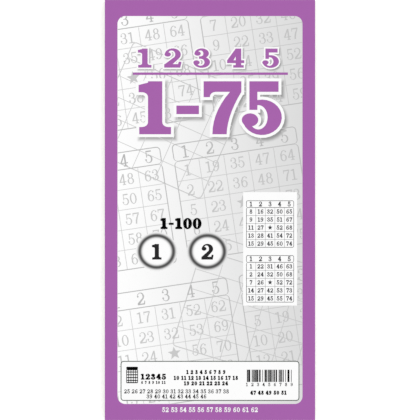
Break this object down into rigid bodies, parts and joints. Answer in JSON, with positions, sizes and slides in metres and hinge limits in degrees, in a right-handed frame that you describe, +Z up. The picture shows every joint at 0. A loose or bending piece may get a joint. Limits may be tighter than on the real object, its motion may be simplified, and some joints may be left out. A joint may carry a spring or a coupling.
{
  "type": "bingo card pad",
  "caption": "Tear-off pad of number-game cards: printed paper cover and newsprint leaves on a grey board, glued along the head so the sheets turn up there.",
  "frame": {"origin": "middle of the underside, on the surface that the pad lies on", "axes": "+X across the pad, +Y towards the glued head, +Z up out of the printed cover"},
  "size_m": [0.108, 0.2164, 0.0089],
  "materials": {
    "cover_paper": "coated paper with a purple printed border",
    "newsprint": "uncoated newsprint",
    "grey_board": "unlined grey board",
    "padding_glue": "dried white padding glue, flexible"
  },
  "bodies": {
    "pad_base": {"back_board": "grey_board", "glue_strip": "padding_glue"},
    "leaves_091_100": {"leaves_091_100": "newsprint"},
    "leaves_081_090": {"leaves_081_090": "newsprint"},
    "leaves_071_080": {"leaves_071_080": "newsprint"},
    "leaves_061_070": {"leaves_061_070": "newsprint"},
    "leaves_051_060": {"leaves_051_060": "newsprint"},
    "leaves_041_050": {"leaves_041_050": "newsprint"},
    "leaves_031_040": {"leaves_031_040": "newsprint"},
    "leaves_021_030": {"leaves_021_030": "newsprint"},
    "leaves_011_020": {"leaves_011_020": "newsprint"},
    "leaf_010": {"leaf_010": "newsprint"},
    "leaf_009": {"leaf_009": "newsprint"},
    "leaf_008": {"leaf_008": "newsprint"},
    "leaf_007": {"leaf_007": "newsprint"},
    "leaf_006": {"leaf_006": "newsprint"},
    "leaf_005": {"leaf_005": "newsprint"},
    "leaf_004": {"leaf_004": "newsprint"},
    "leaf_003": {"leaf_003": "newsprint"},
    "leaf_002": {"leaf_002": "newsprint"},
    "leaf_001": {"leaf_001": "newsprint"},
    "cover": {"front_cover": "cover_paper"}
  },
  "joints": [
    {"name": "leaves_091_100_turn", "type": "hinge", "parent": "pad_base", "child": "leaves_091_100", "pos_m": [0, 0.10775, 0.00892], "axis": [-1, 0, 0], "range_deg": [0, 1.5]},
    {"name": "leaves_081_090_turn", "type": "hinge", "parent": "leaves_091_100", "child": "leaves_081_090", "pos_m": [0, 0.10775, 0.00892], "axis": [-1, 0, 0], "range_deg": [0, 1.5]},
    {"name": "leaves_071_080_turn", "type": "hinge", "parent": "leaves_081_090", "child": "leaves_071_080", "pos_m": [0, 0.10775, 0.00892], "axis": [-1, 0, 0], "range_deg": [0, 1.5]},
    {"name": "leaves_061_070_turn", "type": "hinge", "parent": "leaves_071_080", "child": "leaves_061_070", "pos_m": [0, 0.10775, 0.00892], "axis": [-1, 0, 0], "range_deg": [0, 1.5]},
    {"name": "leaves_051_060_turn", "type": "hinge", "parent": "leaves_061_070", "child": "leaves_051_060", "pos_m": [0, 0.10775, 0.00892], "axis": [-1, 0, 0], "range_deg": [0, 1.5]},
    {"name": "leaves_041_050_turn", "type": "hinge", "parent": "leaves_051_060", "child": "leaves_041_050", "pos_m": [0, 0.10775, 0.00892], "axis": [-1, 0, 0], "range_deg": [0, 1.5]},
    {"name": "leaves_031_040_turn", "type": "hinge", "parent": "leaves_041_050", "child": "leaves_031_040", "pos_m": [0, 0.10775, 0.00892], "axis": [-1, 0, 0], "range_deg": [0, 1.5]},
    {"name": "leaves_021_030_turn", "type": "hinge", "parent": "leaves_031_040", "child": "leaves_021_030", "pos_m": [0, 0.10775, 0.00892], "axis": [-1, 0, 0], "range_deg": [0, 1.5]},
    {"name": "leaves_011_020_turn", "type": "hinge", "parent": "leaves_021_030", "child": "leaves_011_020", "pos_m": [0, 0.10775, 0.00892], "axis": [-1, 0, 0], "range_deg": [0, 1.5]},
    {"name": "leaf_010_turn", "type": "hinge", "parent": "leaves_011_020", "child": "leaf_010", "pos_m": [0, 0.10775, 0.00892], "axis": [-1, 0, 0], "range_deg": [0, 4]},
    {"name": "leaf_009_turn", "type": "hinge", "parent": "leaf_010", "child": "leaf_009", "pos_m": [0, 0.10775, 0.00892], "axis": [-1, 0, 0], "range_deg": [0, 4]},
    {"name": "leaf_008_turn", "type": "hinge", "parent": "leaf_009", "child": "leaf_008", "pos_m": [0, 0.10775, 0.00892], "axis": [-1, 0, 0], "range_deg": [0, 4]},
    {"name": "leaf_007_turn", "type": "hinge", "parent": "leaf_008", "child": "leaf_007", "pos_m": [0, 0.10775, 0.00892], "axis": [-1, 0, 0], "range_deg": [0, 4]},
    {"name": "leaf_006_turn", "type": "hinge", "parent": "leaf_007", "child": "leaf_006", "pos_m": [0, 0.10775, 0.00892], "axis": [-1, 0, 0], "range_deg": [0, 4]},
    {"name": "leaf_005_turn", "type": "hinge", "parent": "leaf_006", "child": "leaf_005", "pos_m": [0, 0.10775, 0.00892], "axis": [-1, 0, 0], "range_deg": [0, 4]},
    {"name": "leaf_004_turn", "type": "hinge", "parent": "leaf_005", "child": "leaf_004", "pos_m": [0, 0.10775, 0.00892], "axis": [-1, 0, 0], "range_deg": [0, 4]},
    {"name": "leaf_003_turn", "type": "hinge", "parent": "leaf_004", "child": "leaf_003", "pos_m": [0, 0.10775, 0.00892], "axis": [-1, 0, 0], "range_deg": [0, 4]},
    {"name": "leaf_002_turn", "type": "hinge", "parent": "leaf_003", "child": "leaf_002", "pos_m": [0, 0.10775, 0.00892], "axis": [-1, 0, 0], "range_deg": [0, 4]},
    {"name": "leaf_001_turn", "type": "hinge", "parent": "leaf_002", "child": "leaf_001", "pos_m": [0, 0.10775, 0.00892], "axis": [-1, 0, 0], "range_deg": [0, 4]},
    {"name": "cover_turn", "type": "hinge", "parent": "leaf_001", "child": "cover", "pos_m": [0, 0.10775, 0.00892], "axis": [-1, 0, 0], "range_deg": [0, 120]}
  ]
}
